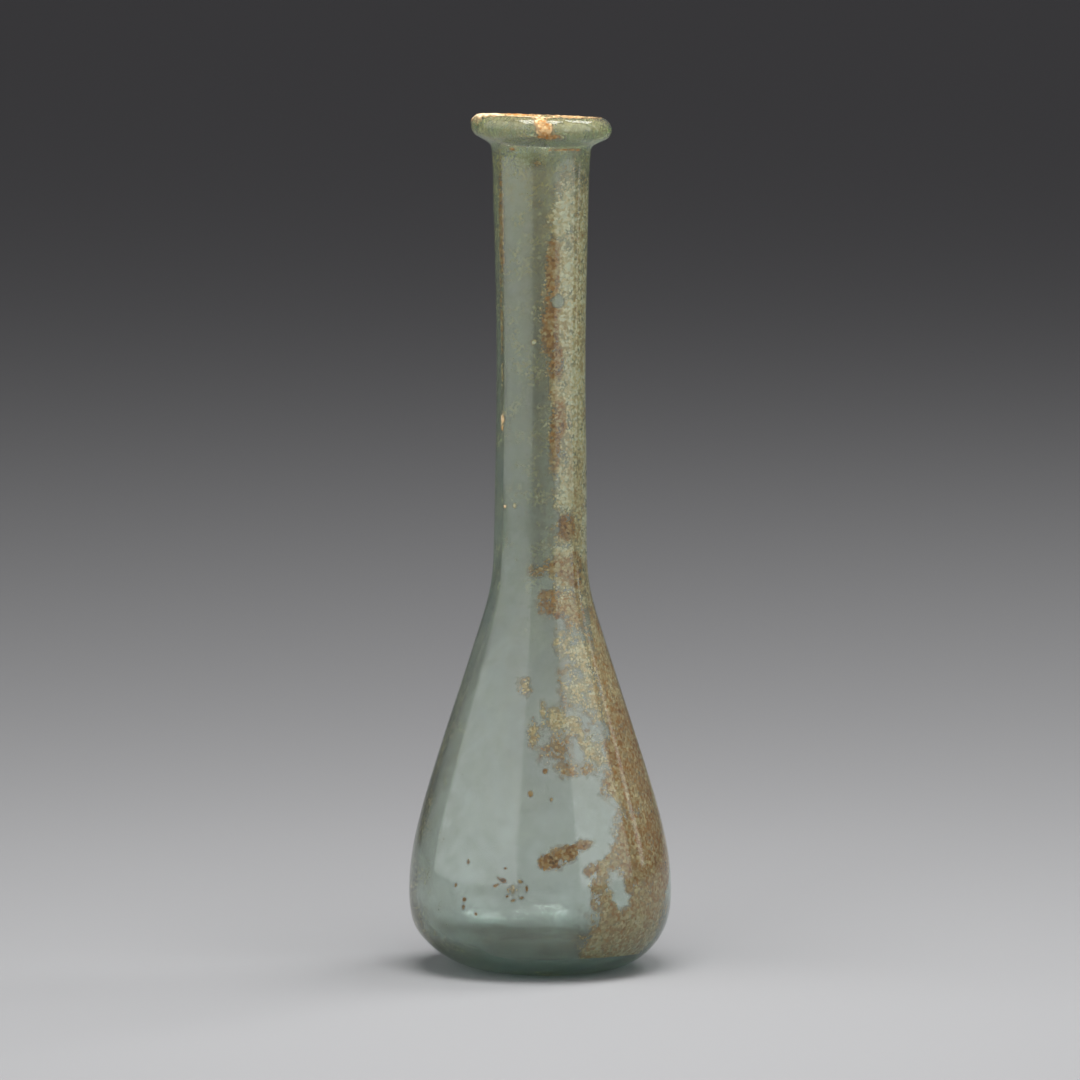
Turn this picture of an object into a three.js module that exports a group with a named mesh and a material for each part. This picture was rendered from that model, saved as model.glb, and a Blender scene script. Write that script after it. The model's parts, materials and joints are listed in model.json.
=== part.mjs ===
// A free-blown glass perfume flask: a long cylindrical neck with a folded, rounded rim, and a
// pear-shaped body on a small flattened foot. It is one piece of glass, hollow and open at the top.
// Millimetres, +Z up. The origin is on the body's axis, in the plane that the foot stands on, and
// the side that faces -Y is the front.
import * as THREE from "three";

// Driving dimensions
const HEIGHT = 155; // at the middle of the rim
const BODY_RADIUS = 24; // the widest turn of the body
const BODY_WIDEST_Z = 14;
const NECK_ROOT_RADIUS = 8.55;
const NECK_ROOT_Z = 72; // where the tooled neck gives way to the body
const NECK_WAIST_RADIUS = 8.05;
const NECK_WAIST_Z = 111;
const NECK_TOP_RADIUS = 8.8;
const RIM_RADIUS = 12.75;
const RIM_DEPTH = 6; // from the top of the rim down to the neck
const RIM_FILLET = 0.8; // in the corner under the rim
const ROLL_WIDTH = 3.7; // the rolled edge of the rim
const ROLL_HEIGHT = 4.1;
const MOUTH_RADIUS = 8.4; // the bore's flare, within the roll
const MOUTH_DEPTH = 1.8;
const THROAT_DEPTH = 11; // where the flare has died out
const FOOT_RADIUS = 13; // the outside of the ring that the flask stands on
const FOOT_HOLLOW_RADIUS = 8.6;
const FOOT_HOLLOW_DEPTH = 0.6;

// Wall thickness, measured square to the axis
const NECK_WALL = 1.6;
const BODY_WALL = 1.3;
const HEEL_WALL = 1.9;
const FLOOR_THICKNESS = 1.9;

// What the glassblower's hand left: the rim dips to the right and to the back, and both the neck
// and the foot stand a little to the right of the body's axis.
const RIM_DIP_RIGHT = THREE.MathUtils.degToRad(2);
const RIM_DIP_BACK = THREE.MathUtils.degToRad(1.8);
const NECK_SHIFT = 0.2;
const FOOT_SHIFT = 0.9;

const TURN_STEPS = 56; // a multiple of 4, so that the widest ring touches all four sides

const rimBottomZ = HEIGHT - RIM_DEPTH;
const rollCentre = [RIM_RADIUS - ROLL_WIDTH / 2, HEIGHT - ROLL_HEIGHT / 2];

// The outline's stations, each a [radius, height], from the foot up to the rim.
const HEEL = [
  [0.66 * BODY_RADIUS, 1],
  [0.778 * BODY_RADIUS, 2.6],
  [0.868 * BODY_RADIUS, 4.6],
  [0.943 * BODY_RADIUS, 6.9],
  [0.985 * BODY_RADIUS, 10],
];
const WIDEST = [BODY_RADIUS, BODY_WIDEST_Z];
const SHOULDER = [
  [0.993 * BODY_RADIUS, 18.5],
  [0.935 * BODY_RADIUS, 26],
  [0.735 * BODY_RADIUS, 42],
  [0.507 * BODY_RADIUS, 58.8],
  [1.11 * NECK_ROOT_RADIUS, NECK_ROOT_Z - 4.6],
];
const NECK_ROOT = [NECK_ROOT_RADIUS, NECK_ROOT_Z];
const NECK = [
  [NECK_ROOT_RADIUS - 0.13, NECK_ROOT_Z + 8],
  [NECK_ROOT_RADIUS - 0.22, 93],
  [NECK_WAIST_RADIUS, NECK_WAIST_Z],
  [NECK_TOP_RADIUS - 0.3, 134],
];
const NECK_TOP = [NECK_TOP_RADIUS, rimBottomZ];

// Points along an elliptical arc, angles in degrees from outward towards +Z.
function arc([centreR, centreZ], radiusR, radiusZ, from, to, steps) {
  return Array.from({ length: steps + 1 }, (_, i) => {
    const angle = THREE.MathUtils.degToRad(from + ((to - from) * i) / steps);
    return [centreR + radiusR * Math.cos(angle), centreZ + radiusZ * Math.sin(angle)];
  });
}

// Evenly spaced points on a smooth curve through stations.
function smooth(stations, steps) {
  const points = stations.map(([r, z]) => new THREE.Vector3(r, z, 0));
  const curve = new THREE.CatmullRomCurve3(points, false, "centripetal");
  return curve.getSpacedPoints(steps).map(({ x, y }) => [x, y]);
}

// Joins stretches of outline, each of which starts where the one before it ends.
function joined(...stretches) {
  return stretches.flatMap((points, i) => (i ? points.slice(1) : points));
}

function wallAt(z) {
  const { lerp, smoothstep } = THREE.MathUtils;
  return z < BODY_WIDEST_Z
    ? lerp(HEEL_WALL, BODY_WALL, z / BODY_WIDEST_Z)
    : lerp(BODY_WALL, NECK_WALL, smoothstep(z, 0.7 * NECK_ROOT_Z, NECK_ROOT_Z));
}

// The wall's inner stations behind a stretch of outer ones, in order from the top down. Near the
// foot they are lifted, so that the floor is thicker than the wall.
function behind(stations) {
  return [...stations].reverse().map(([r, z]) => {
    const lift = FLOOR_THICKNESS * Math.max(0, 1 - z / BODY_WIDEST_Z);
    return [r - wallAt(z), z + lift];
  });
}

// The half section of the glass: up the outside from the middle of the foot, over the rim, and
// down the inside to the middle of the floor.
function halfSection() {
  const footHollow = arc([0, 0], FOOT_HOLLOW_RADIUS, FOOT_HOLLOW_DEPTH, 90, 0, 4);
  const heel = smooth([[FOOT_RADIUS, 0], ...HEEL, WIDEST], 9);
  const shoulder = smooth([WIDEST, ...SHOULDER, NECK_ROOT], 13);
  const neck = smooth([NECK_ROOT, ...NECK, NECK_TOP], 8);
  const roll = arc(rollCentre, ROLL_WIDTH / 2, ROLL_HEIGHT / 2, -59, 110, 9);
  const fillet = [NECK_TOP_RADIUS + RIM_FILLET / 2, rimBottomZ + RIM_FILLET];
  const underRim = smooth([NECK_TOP, fillet, roll[0]], 4);

  const throat = [NECK_TOP_RADIUS - NECK_WALL - 0.1, HEIGHT - THROAT_DEPTH];
  const flare = [throat[0] + 0.35, HEIGHT - 0.45 * THROAT_DEPTH];
  const mouth = smooth([roll.at(-1), [MOUTH_RADIUS, HEIGHT - MOUTH_DEPTH], flare, throat], 7);
  const bore = smooth([throat, ...behind([NECK_ROOT, ...NECK])], 8);
  const hollow = smooth(behind([WIDEST, ...SHOULDER, NECK_ROOT]), 11);
  const innerHeel = smooth(behind([[FOOT_RADIUS, 0], ...HEEL, WIDEST]), 8);
  const middleOfFloor = [0, FLOOR_THICKNESS];
  return [
    ...footHollow,
    ...joined(heel, shoulder, neck, underRim, roll, mouth, bore, hollow, innerHeel),
    middleOfFloor,
  ].map(([r, z]) => new THREE.Vector2(r, z));
}

// Moves the turned form off true, as a function of place alone, so that the walls stay closed.
function handOfTheBlower(geometry) {
  const { smoothstep } = THREE.MathUtils;
  const place = geometry.getAttribute("position");
  for (let i = 0; i < place.count; i += 1) {
    const [x, y, z] = [place.getX(i), place.getY(i), place.getZ(i)];
    const neckShift = NECK_SHIFT * smoothstep(z, NECK_ROOT_Z, NECK_ROOT_Z + 20);
    const footShift = FOOT_SHIFT * (1 - smoothstep(z, 0, 0.6 * BODY_WIDEST_Z));
    const dip = x * Math.tan(RIM_DIP_RIGHT) + y * Math.tan(RIM_DIP_BACK);
    const dipShare = smoothstep(z, rimBottomZ - 4, rollCentre[1]);
    place.setXYZ(i, x + neckShift + footShift, y, z - dip * dipShare);
  }
  return geometry;
}

function makeFlask() {
  const turned = new THREE.LatheGeometry(halfSection(), TURN_STEPS);
  turned.rotateX(Math.PI / 2);
  const glass = new THREE.MeshStandardMaterial({
    color: 0xa9bdb0,
    roughness: 0.15,
    metalness: 0,
    transparent: true,
    opacity: 0.4,
  });
  const flask = new THREE.Mesh(handOfTheBlower(turned), glass);
  flask.name = "flask";
  return flask;
}

const part = new THREE.Group();
part.add(makeFlask());

export default part;
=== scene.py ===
"""The looks of a free-blown glass perfume flask, built around its frame. Metres, +Z up."""
import json
import math

import bpy
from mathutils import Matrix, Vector, noise
from mathutils.bvhtree import BVHTree

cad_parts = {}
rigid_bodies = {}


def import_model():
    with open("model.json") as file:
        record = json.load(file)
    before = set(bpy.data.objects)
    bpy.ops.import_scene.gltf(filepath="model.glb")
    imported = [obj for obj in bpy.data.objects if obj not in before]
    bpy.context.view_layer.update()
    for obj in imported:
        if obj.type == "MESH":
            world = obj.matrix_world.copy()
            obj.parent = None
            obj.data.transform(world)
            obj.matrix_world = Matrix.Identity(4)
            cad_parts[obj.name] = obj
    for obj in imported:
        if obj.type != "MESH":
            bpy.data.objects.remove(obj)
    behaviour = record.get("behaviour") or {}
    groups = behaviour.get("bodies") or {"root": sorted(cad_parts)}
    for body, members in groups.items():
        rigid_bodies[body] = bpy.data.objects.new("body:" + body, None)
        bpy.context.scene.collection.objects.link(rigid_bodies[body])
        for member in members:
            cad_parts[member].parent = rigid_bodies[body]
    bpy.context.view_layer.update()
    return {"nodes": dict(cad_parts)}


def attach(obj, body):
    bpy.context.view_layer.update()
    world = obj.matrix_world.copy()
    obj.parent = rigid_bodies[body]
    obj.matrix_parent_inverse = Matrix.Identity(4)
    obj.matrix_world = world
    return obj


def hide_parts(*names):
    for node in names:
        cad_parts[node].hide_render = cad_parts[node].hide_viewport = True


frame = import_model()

MM = 0.001


# ---- Helpers -----------------------------------------------------------------------------------


def deselect():
    bpy.ops.object.select_all(action="DESELECT")


def make_active(piece):
    deselect()
    piece.select_set(True)
    bpy.context.view_layer.objects.active = piece


def copy_of(piece, name):
    """A plain copy of a piece, without the frame's notes on it."""
    make_active(piece)
    bpy.ops.object.duplicate()
    new = bpy.context.object
    new.name = name
    for key in list(new.keys()):
        del new[key]
    return new


def delete_faces(piece, doomed):
    """Delete the active piece's faces that are marked true."""
    bpy.ops.object.mode_set(mode="EDIT")
    bpy.ops.mesh.select_mode(type="FACE")
    bpy.ops.mesh.select_all(action="DESELECT")
    bpy.ops.object.mode_set(mode="OBJECT")
    piece.data.polygons.foreach_set("select", doomed)
    bpy.ops.object.mode_set(mode="EDIT")
    bpy.ops.mesh.delete(type="FACE")
    bpy.ops.object.mode_set(mode="OBJECT")


def rgb(red, green, blue):
    """A linear colour from the everyday 0 to 255 kind."""
    return tuple((c / 255) ** 2.2 for c in (red, green, blue)) + (1.0,)


def lerp(a, b, t):
    return a + (b - a) * t


def ease(low, high, value):
    """0 below low, 1 above high, and a smooth rise between."""
    t = min(max((value - low) / (high - low), 0), 1)
    return t * t * (3 - 2 * t)


def along(stations, at):
    """The value at a place along a list of (place, value), in rising order of place."""
    if at <= stations[0][0]:
        return stations[0][1]
    for (a, va), (b, vb) in zip(stations, stations[1:]):
        if at <= b:
            return lerp(va, vb, (at - a) / (b - a))
    return stations[-1][1]


def outwards_at(azimuth):
    """The level way out from the axis at degrees from the front, positive to the right."""
    turn = math.radians(azimuth)
    return Vector((math.sin(turn), -math.cos(turn), 0))


def lumps(spot, size, seed):
    """Soft noise, about -1 to 1, with lumps of a size in mm."""
    return noise.noise(spot / (size * MM) + Vector((17.3, 5.1, 9.7)) * seed)


# ---- Node helpers ------------------------------------------------------------------------------


def new_material(name):
    """A node material, with its tree, its shader and its output."""
    material = bpy.data.materials.new(name)
    material.use_nodes = True
    tree = material.node_tree
    return material, tree, tree.nodes["Principled BSDF"], tree.nodes["Material Output"]


def node(tree, kind, inputs=None, **settings):
    """A node with its settings, and its inputs as values or links."""
    new = tree.nodes.new(kind)
    for key, value in settings.items():
        setattr(new, key, value)
    for key, value in (inputs or {}).items():
        if isinstance(value, bpy.types.NodeSocket):
            tree.links.new(value, new.inputs[key])
        else:
            new.inputs[key].default_value = value
    return new


def maths(tree, operation, a, b=0.0, clamp=False):
    new = node(tree, "ShaderNodeMath", {0: a, 1: b}, operation=operation, use_clamp=clamp)
    return new.outputs[0]


def span(tree, value, low, high, to_low=0.0, to_high=1.0):
    """A value mapped from one range to another, and held within it."""
    inputs = {"Value": value, "From Min": low, "From Max": high,
              "To Min": to_low, "To Max": to_high}
    return node(tree, "ShaderNodeMapRange", inputs).outputs[0]


def grain(tree, place, size, detail=2.0, roughness=0.5):
    """Noise of 0 to 1, with lumps of a size in mm."""
    inputs = {"Vector": place, "Scale": 1 / (size * MM), "Detail": detail, "Roughness": roughness}
    return node(tree, "ShaderNodeTexNoise", inputs).outputs["Fac"]


def ramp(tree, value, stops):
    """Colours along a value of 0 to 1."""
    new = node(tree, "ShaderNodeValToRGB", {"Fac": value})
    points = new.color_ramp.elements
    while len(points) < len(stops):
        points.new(1.0)
    for point, (position, colour) in zip(points, stops):
        point.position = position
        point.color = colour
    return new.outputs["Color"]


def blend(tree, factor, a, b, kind="MIX"):
    new = node(tree, "ShaderNodeMix", {"Factor": factor}, data_type="RGBA", blend_type=kind)
    for socket, value in ((new.inputs[6], a), (new.inputs[7], b)):
        if isinstance(value, bpy.types.NodeSocket):
            tree.links.new(value, socket)
        else:
            socket.default_value = value
    return new.outputs[2]


# ---- Camera ------------------------------------------------------------------------------------

AIM = Vector((0, 0, 0.0781))
VIEW_DISTANCE = 1.6
VIEW_DOWN = math.radians(5.75)
LENS = 294  # mm, on a 36 mm sensor


def camera():
    back = VIEW_DISTANCE * Vector((0, -math.cos(VIEW_DOWN), math.sin(VIEW_DOWN)))
    bpy.ops.object.camera_add(location=AIM + back, rotation=(math.pi / 2 - VIEW_DOWN, 0, 0))
    view = bpy.context.object
    view.name = "camera"
    view.data.lens = LENS
    view.data.sensor_width = 36
    view.data.clip_end = 50
    bpy.context.scene.camera = view


# ---- Stage and light ---------------------------------------------------------------------------


FLOOR_REACH = 9


def floor():
    bpy.ops.mesh.primitive_circle_add(vertices=96, radius=FLOOR_REACH, fill_type="NGON")
    ground = bpy.context.object
    ground.name = "floor"
    material, tree, shader, out = new_material("floor paper")
    shader.inputs["Base Color"].default_value = (0.36, 0.36, 0.366, 1)
    shader.inputs["Roughness"].default_value = 0.9
    shader.inputs["Specular IOR Level"].default_value = 0.2
    ground.data.materials.append(material)


def panel(name, bearing, distance, height, aim, width, tall, power):
    """A softbox at a bearing in degrees from the front, positive to the right. Its middle is at
    a height, and it faces a height above the foot. Its power is in watts."""
    place = distance * outwards_at(bearing) + Vector((0, 0, height))
    bpy.ops.object.light_add(type="AREA", location=place)
    lamp = bpy.context.object
    lamp.name = name
    lamp.rotation_euler = (place - Vector((0, 0, aim))).to_track_quat("Z", "Y").to_euler()
    lamp.data.shape = "RECTANGLE"
    lamp.data.size = width
    lamp.data.size_y = tall
    lamp.data.energy = power
    lamp.visible_camera = False


def lights():
    panel("left softbox", -65, 0.7, 0.46, 0.46, 1.35, 0.88, 4.0)
    panel("right softbox", 62, 0.7, 0.46, 0.46, 0.7, 0.88, 2.6)
    panel("right strip", 103, 0.7, 0.375, 0.375, 0.06, 0.65, 0.2)
    panel("high softbox", 120, 0.65, 1.0, 0.3, 0.5, 0.5, 5.4)
    panel("top softbox", 0, 0.12, 0.42, 0.0, 0.25, 0.25, 1.8)
    world = bpy.data.worlds.new("studio")
    world.use_nodes = True
    background = world.node_tree.nodes["Background"]
    background.inputs["Color"].default_value = (0.097, 0.095, 0.1, 1)
    bpy.context.scene.world = world


# ---- Glass -------------------------------------------------------------------------------------

BASIN_HEIGHT = 8  # mm, below which a face may belong to the floor of the hollow
BASIN_RADIUS = 14  # mm, of that floor
RIM_UNDERSIDE = 149  # mm above the foot


def glass():
    """Clear glass, darker and greener the more of it the light goes through."""
    material, tree, shader, out = new_material("blue-green glass")
    shader.inputs["Base Color"].default_value = (0.98, 0.965, 0.945, 1)
    shader.inputs["Roughness"].default_value = 0.08
    shader.inputs["IOR"].default_value = 1.5
    shader.inputs["Transmission Weight"].default_value = 0.97
    depth = node(tree, "ShaderNodeVolumeAbsorption",
                 {"Color": (0.02, 0.78, 0.64, 1), "Density": 90})
    tree.links.new(depth.outputs[0], out.inputs["Volume"])
    return material


def is_inner(spot, normal):
    """Whether a face of the wall looks into the hollow."""
    outwards = Vector((spot.x, spot.y, 0))
    if spot.z < BASIN_HEIGHT * MM and outwards.length < BASIN_RADIUS * MM:
        return normal.z > 0.3
    return normal.dot(outwards) < 0


def blown_glass():
    """The vessel as one smooth wall, from a merged copy of its CAD node."""
    wall = copy_of(frame["nodes"]["flask"], "glass_wall")
    bpy.ops.object.parent_clear(type="CLEAR_KEEP_TRANSFORM")
    bpy.ops.object.mode_set(mode="EDIT")
    bpy.ops.mesh.select_all(action="SELECT")
    bpy.ops.mesh.remove_doubles(threshold=0.001 * MM)
    bpy.ops.mesh.tris_convert_to_quads()
    bpy.ops.object.mode_set(mode="OBJECT")
    smooth = wall.modifiers.new("smooth", "SUBSURF")
    smooth.levels = smooth.render_levels = 2
    bpy.ops.object.modifier_apply(modifier="smooth")
    bpy.ops.object.shade_smooth()

    # The breath's long waves and the pull of the tools, each face of the wall by itself.
    normals = [corner.normal.copy() for corner in wall.data.vertices]
    for corner, normal in zip(wall.data.vertices, normals):
        seed = 1 if is_inner(corner.co, normal) else 2
        drawn = Vector((corner.co.x, corner.co.y, corner.co.z / 3))
        wave = 0.07 * lumps(corner.co, 17, seed) + 0.035 * lumps(drawn, 5, seed + 2)
        corner.co += normal * wave * MM * ease(0.2, 4, corner.co.z / MM)

    wall.data.materials.clear()
    wall.data.materials.append(glass())
    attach(wall, "root")
    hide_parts("flask")
    return wall


# ---- Weathering film ---------------------------------------------------------------------------

# How much of the glass the film hides inside, up the height in mm.
INNER_VEIL = [
    (0, 0.06), (2.5, 0.10), (6, 0.24), (10, 0.24), (18, 0.17), (60, 0.18), (72, 0.26), (100, 0.30),
    (140, 0.32), (148, 0.40), (153, 0.42),
]


def veil_at(spot, normal):
    """How much of the glass the weathered skin hides, and how brown it is there: soil on the floor
    of the hollow, soil mixed with painted shade on the body's left, and a browner band up the
    neck.
    """
    height = spot.z / MM
    if not is_inner(spot, normal):
        return 0.42 * ease(149.3, 151.2, height), 0.0
    if height < 3 and math.hypot(spot.x, spot.y) < BASIN_RADIUS * MM:
        return 0.35, 0.8

    # Two bands of thicker, browner skin: low on the body's left, where it is partly dirt and
    # partly painted shade for the darker left side, and up the neck beside its deposit.
    azimuth = math.degrees(math.atan2(spot.x, -spot.y))
    left = math.exp(-((azimuth + 78) / 26) ** 2)
    left *= ease(2, 10, height) * (1 - ease(30, 66, height))
    beside = math.exp(-((azimuth + 2) / 14) ** 2)
    beside *= ease(68, 76, height) * (1 - ease(146, 150, height))
    veil = along(INNER_VEIL, height) * (1 + 1.2 * left + 0.4 * beside)
    return veil, min(0.8 * left + 0.75 * beside, 1)


def film_material():
    """The dull skin of weathered glass: thin on the body, milkier in the neck and on the rim,
    and dirty on the floor."""
    material, tree, shader, out = new_material("weathered skin")
    place = node(tree, "ShaderNodeTexCoord").outputs["Object"]
    height = node(tree, "ShaderNodeSeparateXYZ", {0: place}).outputs[2]
    height = maths(tree, "MULTIPLY", height, 1 / (160 * MM))
    stray = span(tree, grain(tree, place, 9, 3), 0, 1, -0.05, 0.05)
    level = maths(tree, "ADD", height, stray, clamp=True)
    colour = ramp(tree, level, [
        (0.0, rgb(140, 118, 84)), (0.03, rgb(150, 136, 98)), (0.09, rgb(196, 186, 158)),
        (0.36, rgb(214, 202, 174)), (0.55, rgb(204, 188, 146)), (0.92, rgb(204, 184, 124)),
        (1.0, rgb(196, 192, 138))])
    # The browning attribute: soil on the floor of the hollow, a browner band up the neck, and
    # partly painted shade on the body's left.
    soil_and_shade = node(tree, "ShaderNodeAttribute", attribute_name="soil_and_shade").outputs["Fac"]
    colour = blend(tree, soil_and_shade, colour, rgb(146, 122, 76))
    mottle = grain(tree, place, 4, 5, 0.6)
    fine = grain(tree, place, 0.6, 3, 0.7)
    colour = blend(tree, span(tree, fine, 0.5, 0.8), colour, rgb(222, 214, 188))
    tree.links.new(colour, shader.inputs["Base Color"])
    veil = node(tree, "ShaderNodeAttribute", attribute_name="veil").outputs["Fac"]
    patchy = span(tree, mottle, 0.3, 0.7, 0.4, 1.6)
    speckled = span(tree, fine, 0.3, 0.7, 0.7, 1.3)
    alpha = maths(tree, "MULTIPLY", maths(tree, "MULTIPLY", veil, patchy), speckled, clamp=True)
    tree.links.new(alpha, shader.inputs["Alpha"])
    shader.inputs["Roughness"].default_value = 0.8
    shader.inputs["Specular IOR Level"].default_value = 0.0
    return material


def weathering_film(wall):
    """A thin skin just within the whole inner face and the rim."""
    film = copy_of(wall, "weathering_film")
    delete_faces(film, [not is_inner(face.center, face.normal)
                        and face.center.z < RIM_UNDERSIDE * MM for face in film.data.polygons])
    normals = [corner.normal.copy() for corner in film.data.vertices]
    veil = [veil_at(corner.co, normal) for corner, normal in zip(film.data.vertices, normals)]
    for key, values in zip(("veil", "soil_and_shade"), zip(*veil)):
        film.data.attributes.new(key, "FLOAT", "POINT").data.foreach_set("value", values)
    bpy.ops.object.mode_set(mode="EDIT")
    bpy.ops.mesh.select_all(action="SELECT")
    bpy.ops.transform.shrink_fatten(value=-0.04 * MM)
    bpy.ops.object.mode_set(mode="OBJECT")
    film.data.materials.clear()
    film.data.materials.append(film_material())
    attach(film, "root")


# ---- Deposits ----------------------------------------------------------------------------------

TURN_DOWN = 20  # mm, the height below which ways along the wall turn down to the floor
BEYOND = 60  # mm, further out than any of the glass
ROLL_RADIUS = 10.7  # mm, from the axis to the heart of the rim's roll
ROLL_HEIGHT = 153  # mm, of that heart
ROLL_REACH = 3.2  # mm, from that heart to just off the glass
ROLL_TURN = 2  # mm along the roll for each radian round it
RIM_RADIUS = 11  # mm, where the rim's patches are measured
NECK_RADIUS = 8.3  # mm, outside
BORE_RADIUS = 6.7  # mm, inside
NOTHING = -0.8  # the cover where nothing lies


def inner_spot(tree, azimuth, way):
    """The inner wall at an azimuth from the front, in degrees, and a way up it, in mm."""
    pitch = math.radians(2 * max(TURN_DOWN - way, 0))
    start = Vector((0, 0, max(way, TURN_DOWN) * MM))
    aim = outwards_at(azimuth) * math.cos(pitch) - Vector((0, 0, math.sin(pitch)))
    spot, normal, face, far = tree.ray_cast(start, aim)
    return spot, normal


def outer_spot(tree, azimuth, way):
    """The outer wall at an azimuth and a height."""
    outwards = outwards_at(azimuth)
    start = Vector((0, 0, way * MM)) + outwards * BEYOND * MM
    spot, normal, face, far = tree.ray_cast(start, -outwards)
    return spot, normal


def rim_spot(tree, azimuth, way):
    """The rim's roll at an azimuth and a turn round the roll: 0 is outwards, 90 degrees is up."""
    outwards, turn = outwards_at(azimuth), math.radians(way)
    heart = outwards * ROLL_RADIUS * MM + Vector((0, 0, ROLL_HEIGHT * MM))
    off = outwards * math.cos(turn) + Vector((0, 0, math.sin(turn)))
    spot, normal, face, far = tree.find_nearest(heart + off * ROLL_REACH * MM)
    return spot, normal


CRUMB = 0.5  # mm


def crust_material(name):
    """Dried earth and lime: loose crumbs over a stain. Each corner's cover says where it lies,
    and its tone what it is: 0 is pale lime, 0.5 tan, 0.8 rusty and 1 dark brown."""
    material, tree, shader, out = new_material(name)
    place = node(tree, "ShaderNodeTexCoord").outputs["Object"]
    cover = node(tree, "ShaderNodeAttribute", attribute_name="cover").outputs["Fac"]
    tone = node(tree, "ShaderNodeAttribute", attribute_name="tone").outputs["Fac"]
    fine = grain(tree, place, 0.2, 3, 0.65)
    soft = grain(tree, place, 1.1, 3)

    # Crumbs of no regular shape, each with two dice of its own for its colour.
    scale = 1 / (CRUMB * MM)
    warp = node(tree, "ShaderNodeTexNoise", {"Vector": place, "Scale": scale}).outputs["Color"]
    warp = node(tree, "ShaderNodeVectorMath", {0: warp, 3: 0.35 * MM}, operation="SCALE")
    warped = node(tree, "ShaderNodeVectorMath", {0: place, 1: warp.outputs[0]}, operation="ADD")
    crumbs = node(tree, "ShaderNodeTexVoronoi", {"Vector": warped.outputs[0], "Scale": scale})
    dice = node(tree, "ShaderNodeSeparateColor", {0: crumbs.outputs["Color"]}).outputs

    # Where a crumb lies, and the stain under and round the crumbs.
    edge = maths(tree, "ADD", cover, span(tree, crumbs.outputs["Distance"], 0, 0.8, 0.36, -0.6))
    edge = maths(tree, "ADD", edge, span(tree, fine, 0.25, 0.75, -0.22, 0.22))
    crumb = span(tree, edge, 0, 0.2)
    stain = maths(tree, "ADD", cover, span(tree, soft, 0.3, 0.7, -0.35, 0.3))
    stain = span(tree, stain, -0.35, 0.55, 0, 0.9)
    tree.links.new(maths(tree, "MAXIMUM", crumb, stain), shader.inputs["Alpha"])

    mixed = maths(tree, "ADD", tone, span(tree, dice[0], 0, 1, -0.24, 0.24))
    mixed = maths(tree, "ADD", mixed, span(tree, soft, 0.3, 0.7, -0.12, 0.12), clamp=True)
    colour = ramp(tree, mixed, [
        (0.0, rgb(254, 234, 200)), (0.25, rgb(242, 208, 156)), (0.5, rgb(206, 164, 112)),
        (0.72, rgb(196, 130, 64)), (0.88, rgb(152, 98, 48)), (1.0, rgb(106, 76, 46))])
    shade = maths(tree, "MULTIPLY", span(tree, fine, 0.25, 0.65, 0.72, 1),
                  span(tree, dice[1], 0, 1, 0.8, 1))
    colour = blend(tree, 1.0, colour, shade, "MULTIPLY")
    wash = ramp(tree, tone, [
        (0.0, rgb(206, 186, 146)), (0.5, rgb(178, 142, 102)), (0.8, rgb(158, 104, 60)),
        (1.0, rgb(104, 80, 52))])
    tree.links.new(blend(tree, crumb, wash, colour), shader.inputs["Base Color"])
    bump = node(tree, "ShaderNodeBump",
                {"Height": fine, "Strength": 0.6, "Distance": 0.12 * MM})
    tree.links.new(bump.outputs[0], shader.inputs["Normal"])
    shader.inputs["Roughness"].default_value = 0.9
    shader.inputs["Specular IOR Level"].default_value = 0.15
    return material


BARE = -0.5  # the cover below which there is neither crumb nor stain


def crust(name, tree, spot_at, azimuths, ways, cells, field, material, lift=-0.08, relief=0.1):
    """A deposit: a grid laid against the glass, cut to where its field covers it. Its lift is off
    the face of the glass, in mm, and below 0 it is bedded in."""
    bpy.ops.mesh.primitive_grid_add(x_subdivisions=cells[0], y_subdivisions=cells[1], size=2)
    sheet = bpy.context.object
    sheet.name = name
    mesh = sheet.data
    covers, tones = [], []
    for corner in mesh.vertices:
        azimuth = lerp(azimuths[0], azimuths[1], (corner.co.x + 1) / 2)
        way = lerp(ways[0], ways[1], (corner.co.y + 1) / 2)
        spot, normal = spot_at(tree, azimuth, way)
        cover, tone = field(azimuth, way, spot)
        covers.append(cover)
        tones.append(min(max(tone, 0), 1))
        bumps = max(0.0, 0.5 + 0.5 * lumps(spot, 0.8, 1) + 0.4 * lumps(spot, 0.35, 1))
        corner.co = spot + normal * (lift + math.copysign(relief, lift) * bumps) * MM
    for key, values in (("cover", covers), ("tone", tones)):
        mesh.attributes.new(key, "FLOAT", "POINT").data.foreach_set("value", values)
    delete_faces(sheet, [max(covers[i] for i in face.vertices) < BARE for face in mesh.polygons])
    bpy.ops.object.shade_smooth()
    mesh.materials.append(material)
    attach(sheet, "root")


def patched(patches, azimuth, height, radius, cover, tone):
    """The cover and tone of a place after its patches. Each patch is an azimuth and a height,
    its half width and half height in mm, its slant in degrees, its cover and its tone."""
    weight = 1.0
    for middle, level, wide, tall, slant, amount, kind in patches:
        across = math.radians(azimuth - middle) * radius / MM
        up = height - level
        if max(abs(across), abs(up)) > 2.2 * max(wide, tall):
            continue
        c, s = math.cos(math.radians(slant)), math.sin(math.radians(slant))
        off = math.hypot((across * c + up * s) / wide, (up * c - across * s) / tall)
        near = 1.3 - off
        if amount > 0:
            cover = max(cover, near * (amount if near > 0 else 1.0))
        if near <= 0:
            continue
        if amount > 0:
            pull = min(near * 2.5, 1) * 3
            tone = (tone * weight + kind * pull) / (weight + pull)
            weight += pull
        else:
            cover += amount * near
    return cover, tone


def ragged(spot, seed, amount):
    """A ragged edge for a cover, at three sizes of lump."""
    return amount * (0.36 * lumps(spot, 3.2, seed) + 0.44 * lumps(spot, 1.2, seed + 1)
                     + 0.36 * lumps(spot, 0.55, seed + 2))


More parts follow.
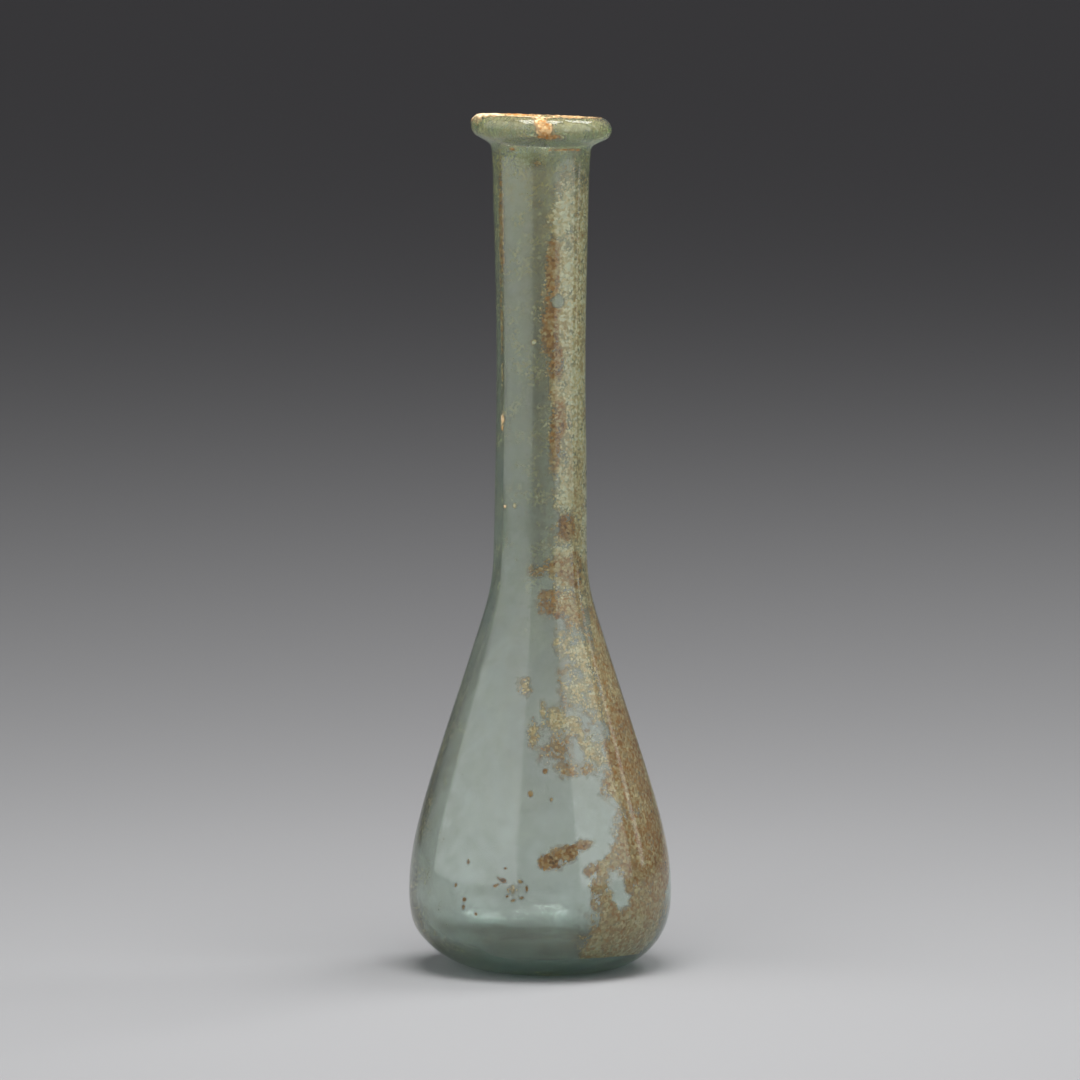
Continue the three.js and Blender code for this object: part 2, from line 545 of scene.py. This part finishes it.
# The left edge of the neck's deposit, as (height, azimuth), and the azimuth of its right edge.
NECK_RIGHT = 104
NECK_LEFT = [
    (60, 20), (68, 17), (75, 11), (81, 17), (90, 19), (100, 18), (106, 10), (110, 7), (115, 10),
    (118, 7), (122, 9), (127, 9), (131, 12), (136, 7), (140, 12), (143, 17), (150, 30),
]
NECK_PATCHES = [
    # rust down the stripe's left side
    (18, 128, 1.1, 5, 0, 1.0, 0.78), (15, 117, 1.3, 5.5, 0, 1.1, 0.80),
    (24, 111, 1.2, 3, 0, 1.0, 0.78), (22, 97, 0.9, 5.5, 0, 0.9, 0.76),
    (33, 101, 0.8, 3, 0, 0.8, 0.70), (40, 81, 1.6, 2, 0, 1.0, 0.86),
    (22, 74, 2.2, 1.6, 15, 0.8, 0.62), (3, 73.5, 2.0, 0.9, 10, 0.55, 0.66),
    (55, 73, 1.6, 3, 0, 0.8, 0.72),
    # pale lime down its right side
    (36, 138, 1.6, 5, 0, 0.9, 0.10), (44, 127, 1.3, 5, 0, 0.9, 0.14),
    (50, 114, 1.1, 5, 0, 0.9, 0.22), (55, 103, 0.9, 6, 0, 0.8, 0.20),
    (48, 92, 1.1, 5, 0, 0.8, 0.24), (36, 86, 1.5, 2.2, 0, 0.9, 0.10),
    (62, 88, 1.0, 8, 0, 0.8, 0.40), (60, 128, 1.0, 10, 0, 0.7, 0.34),
    # the bare spot
    (27, 122, 1.0, 1.1, 0, -3.0, 0),
    # the streak at the left limb
    (-66, 136, 0.7, 8, 0, 0.7, 0.62), (-70, 118, 0.4, 9, 0, 0.35, 0.5),
    # loose crumbs
    (-8, 114.6, 0.35, 0.4, 0, 1.0, 0.0), (-38, 85, 0.4, 0.5, 0, 0.8, 0.1),
    (-4, 147, 0.5, 0.6, 0, 0.6, 0.7),
]


def neck_field(azimuth, way, spot):
    height = spot.z / MM
    inside = math.radians(azimuth - along(NECK_LEFT, height)) * 6.6
    cover = min(inside * (0.5 if inside > 0 else 0.25) - 0.1, (NECK_RIGHT - azimuth) * 0.05, 0.62)
    cover = max(cover, NOTHING)
    # Thinner towards the rim and the shoulder.
    cover = cover - 0.75 * ease(139, 148, height) - 0.1 * (1 - ease(95, 110, height))
    tone = 0.26 + 0.22 * lumps(spot, 2.5, 40) - 0.001 * (azimuth - 50)
    cover, tone = patched(NECK_PATCHES, azimuth, height, BORE_RADIUS * MM, cover, tone)
    return cover + ragged(spot, 11, 0.9), tone


# The edges of the body's deposit, as (height, azimuth).
BODY_LEFT = [
    (2, 22), (6.5, 20), (8, 21), (11, 26), (14, 27), (18, 25), (21, 24), (22, 28), (24.3, 35),
    (27.5, 43), (30, 47), (33, 40), (36, 38), (39, 46), (50, 47), (58, 52), (64, 62), (68, 70),
]
BODY_RIGHT = [
    (2, 62), (6, 72), (11.5, 72), (14.7, 76), (18, 87), (22, 94), (28, 90), (33, 99), (39, 92),
    (44, 101), (50, 91), (57, 99), (63, 93), (70, 98),
]
BODY_PATCHES = [
    # the shoulder's blotches and veil
    (25, 67.2, 3.0, 1.9, 8, 1.0, 0.72), (42, 65.5, 2.2, 2.6, 0, 0.75, 0.55),
    (14, 69, 1.6, 1.0, 0, 0.7, 0.7), (20, 65, 0.5, 0.5, 0, 1.0, 0.95),
    (24, 60, 1.6, 2.4, 0, 0.42, 0.20), (40, 58, 2.2, 4.2, 0, 0.52, 0.12),
    (30, 52, 2.4, 3.4, 0, 0.36, 0.10), (44, 50, 2.2, 4.0, 0, 0.50, 0.22),
    (-12, 52.6, 1.0, 1.3, 20, 0.62, 0.40), (2, 48, 0.5, 2.2, 0, 0.62, 0.18),
    (12, 47, 1.9, 2.2, 20, 0.50, 0.26), (22, 46, 1.7, 1.6, 0, 0.46, 0.16),
    (-4, 44.6, 0.8, 1.9, 0, 0.62, 0.34), (10, 41.5, 2.4, 2.0, 0, 0.42, 0.60),
    (17, 38.4, 1.6, 1.4, 0, 0.42, 0.52), (28, 38.2, 1.1, 1.0, 0, 0.62, 0.55),
    (28, 38.2, 0.4, 0.4, 0, -1.5, 0), (3, 38, 0.4, 0.4, 0, 0.9, 0.75),
    (-5, 34, 0.35, 0.5, 0, 0.9, 0.45), (6, 33, 0.3, 0.3, 0, 0.8, 0.5),
    (27, 44, 0.6, 2.0, 0, 0.55, 0.20), (36, 41, 2.0, 3.0, 0, 0.42, 0.14),
    # the strip down to the patch
    (58, 56, 1.8, 6, 8, 0.7, 0.46), (58, 47, 2.6, 6, 8, 0.8, 0.52), (52, 40, 2.6, 4, 8, 1.0, 0.60),
    (46, 35, 2.6, 2.4, 0, 1.0, 0.56), (70, 40, 3.0, 8, 0, 0.8, 0.60),
    (45, 33.5, 1.4, 1.6, 0, 0.9, 0.16),
    # the patch itself, its dark grain, and its smooth foot
    (56, 26, 4.5, 5.0, 0, 1.0, 0.55), (72, 23, 3.5, 6.0, 0, 1.0, 0.62),
    (48, 19, 5.0, 3.5, 0, 0.9, 0.52), (50, 11, 7.5, 4.5, 0, 1.0, 0.48),
    (40, 9, 6.0, 3.0, 0, 0.9, 0.46), (54, 9.5, 0.9, 0.8, 0, 1.0, 0.34),
    (51, 11.5, 0.5, 0.4, 0, 1.0, 0.1),
    # the bare gap
    (37, 17.5, 2.0, 2.8, 10, -1.5, 0), (40, 14.5, 2.0, 1.6, 0, -1.2, 0),
    # grains left of the gap
    (24, 20.5, 1.4, 0.9, 20, 0.8, 0.66), (26, 17.5, 0.9, 1.6, 0, 0.7, 0.58),
    (25, 14.6, 0.8, 1.2, 0, 0.6, 0.6),
    # the splotch in front
    (5, 22.2, 1.6, 0.9, -30, 1.1, 0.80), (12, 23.5, 2.4, 1.2, 14, 1.2, 0.70),
    (20, 24.9, 1.6, 0.8, 10, 1.1, 0.74), (2, 21.8, 1.0, 0.8, -30, 0.9, 0.82),
    # the crumbs left of the middle
    (-17, 18.8, 0.9, 0.35, -25, 0.9, 0.92), (-20, 17.9, 0.5, 0.22, 30, 0.8, 0.88),
    (-9, 18.6, 0.4, 0.3, 0, 0.7, 0.70), (-6, 17.2, 0.25, 0.6, 0, 0.7, 0.66),
    (-8, 15.8, 0.35, 0.25, 0, 0.7, 0.62), (-12, 15.3, 0.35, 0.25, 0, 0.7, 0.70),
    (-15, 16.0, 0.25, 0.25, 0, 0.7, 0.75), (-12, 17.2, 0.8, 0.9, 0, 0.26, 0.35),
    (-16, 20.9, 0.25, 0.2, 0, 0.9, 0.95), (-35, 21.6, 0.3, 0.35, 0, 0.8, 0.9),
    (-36, 15.0, 0.3, 0.28, 0, 0.8, 0.85), (-36.5, 13.6, 0.25, 0.4, 0, 0.7, 0.8),
    (-41, 17.3, 0.25, 0.3, 0, 0.7, 0.85), (-30, 12.5, 0.2, 0.2, 0, 0.7, 0.8),
]


def body_field(azimuth, way, spot):
    height = spot.z / MM
    radius = math.hypot(spot.x, spot.y)
    left = math.radians(azimuth - along(BODY_LEFT, height)) * radius / MM
    right = math.radians(along(BODY_RIGHT, height) - azimuth) * radius / MM
    cover = max(min(left * 0.5 - 0.1, right * 0.4, 0.7), NOTHING)
    cover -= 0.8 * (1 - ease(2.5, 5, height))
    tone = 0.46 + 0.2 * lumps(spot, 3, 41) - 0.06 * (1 - ease(9, 14, height))
    cover, tone = patched(BODY_PATCHES, azimuth, height, radius, cover, tone)
    cover -= 0.6 * ease(69, 71, height)
    return cover + ragged(spot, 21, 0.8), tone


# On the rim, a patch's height is its way round the roll, in mm from its outside.
RIM_PATCHES = [
    (-95, 3.3, 7.0, 1.5, 0, 1.1, 0.05), (-70, 3.0, 3.0, 1.0, 0, 0.8, 0.12),
    (-125, 3.6, 3.0, 1.2, 0, 0.9, 0.10), (-12, 3.1, 4.2, 0.35, 0, 0.9, 0.16),
    (2, 2.7, 1.6, 0.5, 0, 0.9, 0.25), (1, 1.4, 0.9, 1.2, -10, 0.9, 0.50),
    (5, 0.0, 0.9, 1.3, -20, 0.9, 0.56), (8, -1.2, 1.5, 0.5, 0, 0.7, 0.60),
    (-155, 3.8, 3.4, 1.0, 0, 0.6, 0.62), (150, 3.6, 5.0, 0.8, 0, 0.45, 0.40),
    (60, 3.2, 4.0, 0.5, 0, 0.42, 0.30),
]


def rim_field(azimuth, way, spot):
    round_roll = math.radians(way) * ROLL_TURN
    cover, tone = patched(RIM_PATCHES, azimuth, round_roll, RIM_RADIUS * MM, NOTHING, 0.4)
    return cover + ragged(spot, 31, 0.9), tone


NECK_SKIN_PATCHES = [
    (-57, 100.5, 0.5, 1.1, 0, 1.0, 0.12), (-57, 99, 0.3, 0.5, 0, 1.0, 0.6),
    (-49, 84.8, 0.3, 0.3, 0, 1.0, 0.1), (30, 149.4, 2.9, 0.16, 0, 0.5, 0.66),
    (48, 149.2, 1.0, 0.15, 0, 0.5, 0.7), (-34, 149.5, 0.5, 0.22, 0, 0.5, 0.7),
]


def neck_skin_field(azimuth, way, spot):
    cover, tone = patched(NECK_SKIN_PATCHES, azimuth, spot.z / MM, NECK_RADIUS * MM, NOTHING, 0.4)
    return cover + ragged(spot, 51, 0.5), tone


def deposits(wall):
    tree = BVHTree.FromObject(wall, bpy.context.evaluated_depsgraph_get())
    earth = crust_material("dried earth")
    crust("neck_deposit", tree, inner_spot, (-85, 110), (66, 150), (100, 380), neck_field, earth)
    crust("body_deposit", tree, inner_spot, (-50, 104), (0, 71), (230, 270), body_field, earth)
    crust("rim_crust", tree, rim_spot, (-180, 180), (-60, 190), (330, 44), rim_field, earth,
          lift=0.03, relief=0.2)
    crust("neck_crumbs", tree, outer_spot, (-62, 55), (83, 150), (80, 300), neck_skin_field, earth,
          lift=0.03)


camera()
floor()
lights()
flask = blown_glass()
weathering_film(flask)
deposits(flask)

bpy.context.scene.view_settings.view_transform = "Standard"
